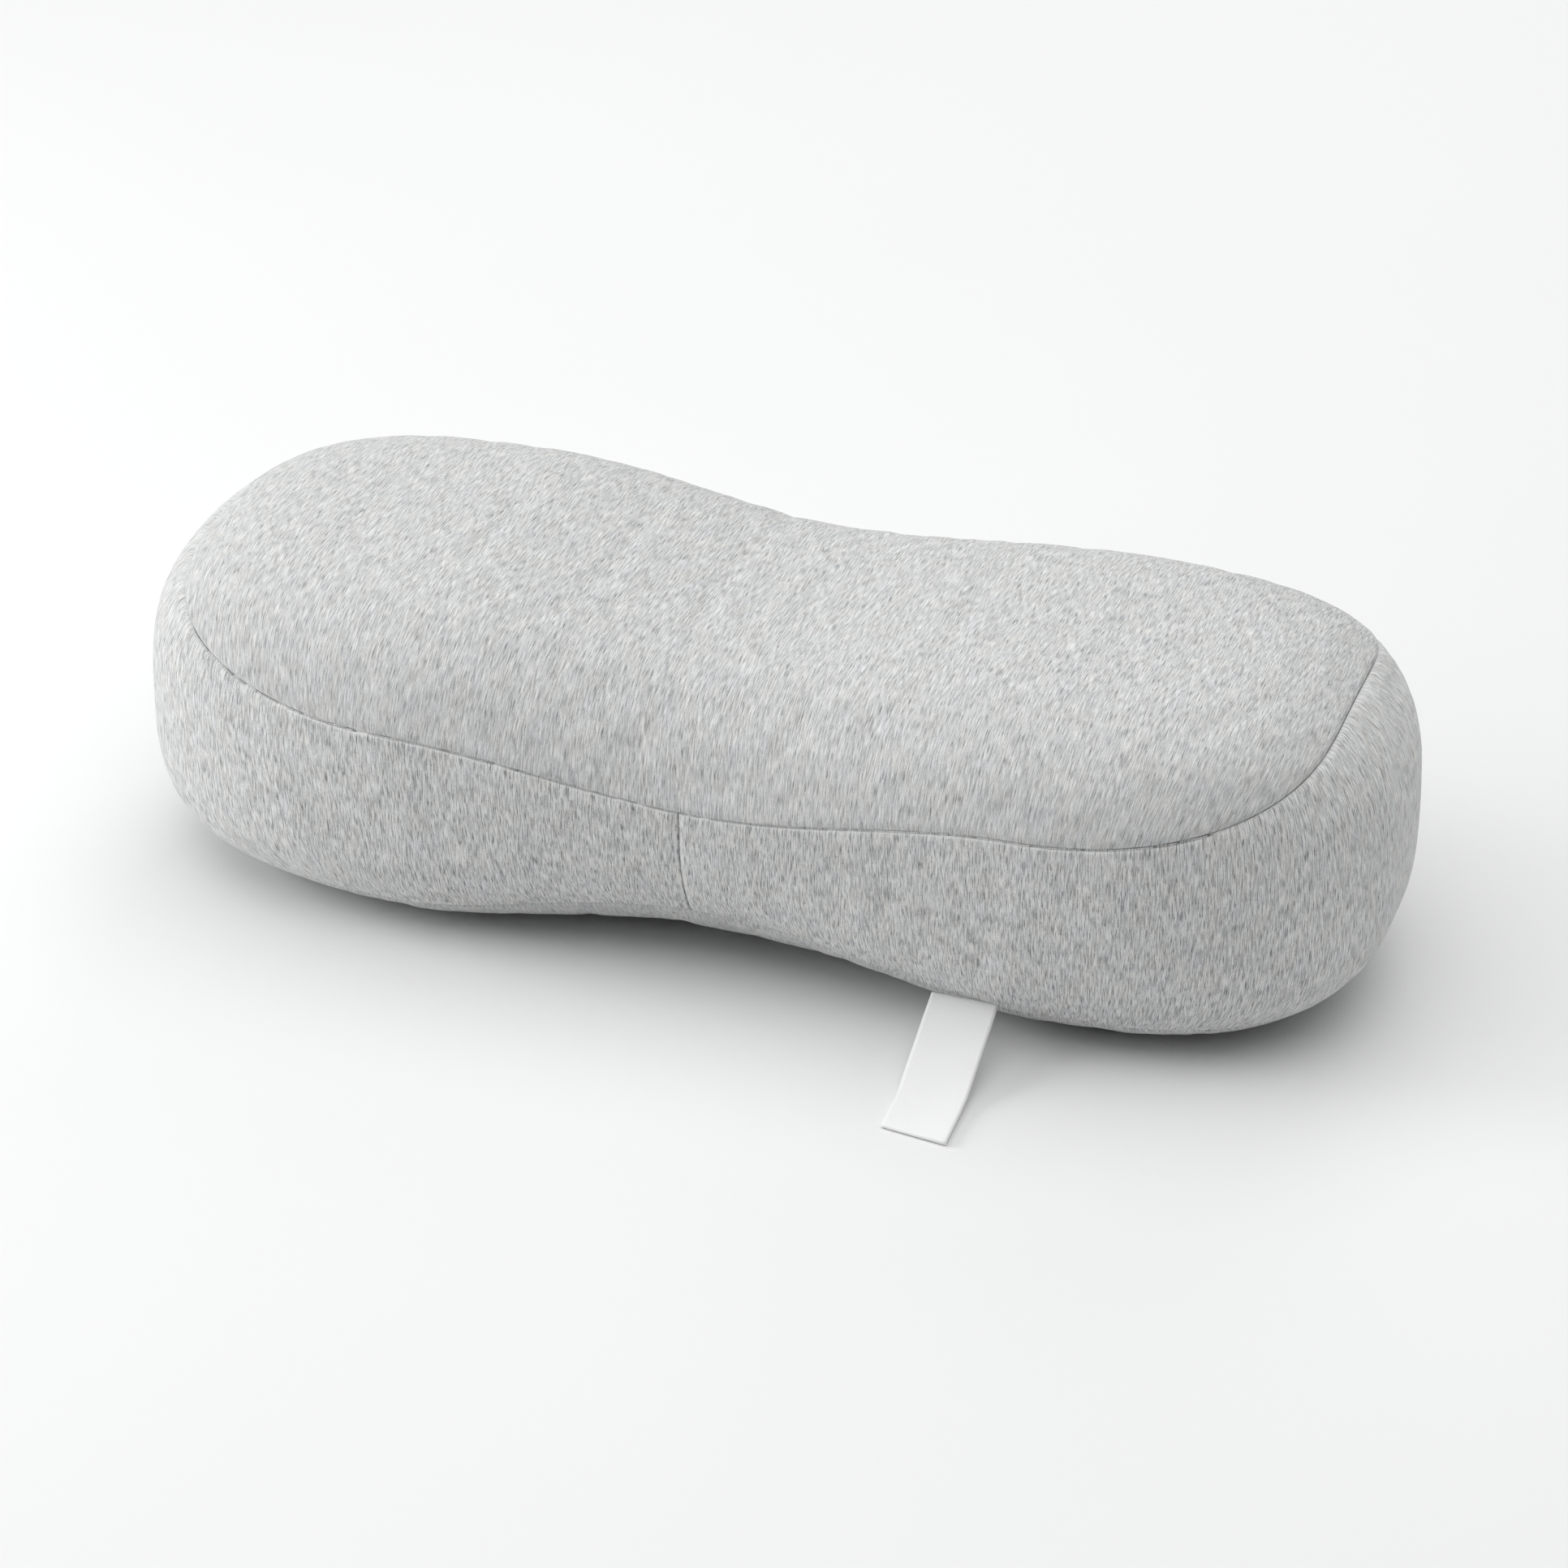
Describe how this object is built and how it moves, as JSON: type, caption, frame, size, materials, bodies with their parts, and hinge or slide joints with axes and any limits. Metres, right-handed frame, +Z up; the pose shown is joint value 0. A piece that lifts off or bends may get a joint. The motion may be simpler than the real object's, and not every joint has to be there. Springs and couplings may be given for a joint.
{
  "type": "bead pillow",
  "caption": "Peanut-shaped bead pillow in a sewn jersey cover with a zip in its underside and a folded care label.",
  "frame": {"origin": "middle of the footprint, care label included, on the surface the pillow lies on; the pillow's own middle is 31.7 mm behind it", "axes": "+X along the pillow's length, towards the end that the care label is nearer to; +Z up; the label comes out towards -Y"},
  "size_m": [0.6, 0.2974, 0.165],
  "materials": {
    "jersey": "heathered knit",
    "thread": "spun thread",
    "lining": "thin knit",
    "beads": "foamed beads",
    "tape": "woven tape",
    "coil": "satin",
    "metal": "satin",
    "label": "satin ribbon"
  },
  "bodies": {
    "pillow": {"top_panel": "jersey", "side_band_left": "jersey", "side_band_right": "jersey", "bottom_panel_front": "jersey", "bottom_panel_back": "jersey", "top_seam_thread": "thread", "bottom_seam_thread": "thread", "side_seam_thread_front": "thread", "side_seam_thread_back": "thread", "inner_bag_upper": "lining", "inner_bag_lower": "lining", "inner_bag_seam_thread": "thread", "bead_fill": "beads", "zip_tape_front": "tape", "zip_tape_back": "tape", "zip_coil_front": "coil", "zip_coil_back": "coil", "zip_top_stop_front": "metal", "zip_top_stop_back": "metal", "zip_bottom_stop": "metal"},
    "slider": {"zip_slider": "metal"},
    "pull": {"zip_pull": "metal"},
    "label": {"care_label": "label"}
  },
  "joints": [
    {"name": "zip_slide", "type": "slide", "parent": "pillow", "child": "slider", "axis": [-1, 0, 0], "range_m": [0, 0.268]},
    {"name": "pull_flip", "type": "hinge", "parent": "slider", "child": "pull", "pos_m": [0.1355, 0.0317, 0.00675], "axis": [0, -1, 0], "range_deg": [0, 165]},
    {"name": "label_flip", "type": "hinge", "parent": "pillow", "child": "label", "pos_m": [0.13, -0.07175, 0.01843], "axis": [-1, 0, 0], "range_deg": [0, 40]}
  ]
}
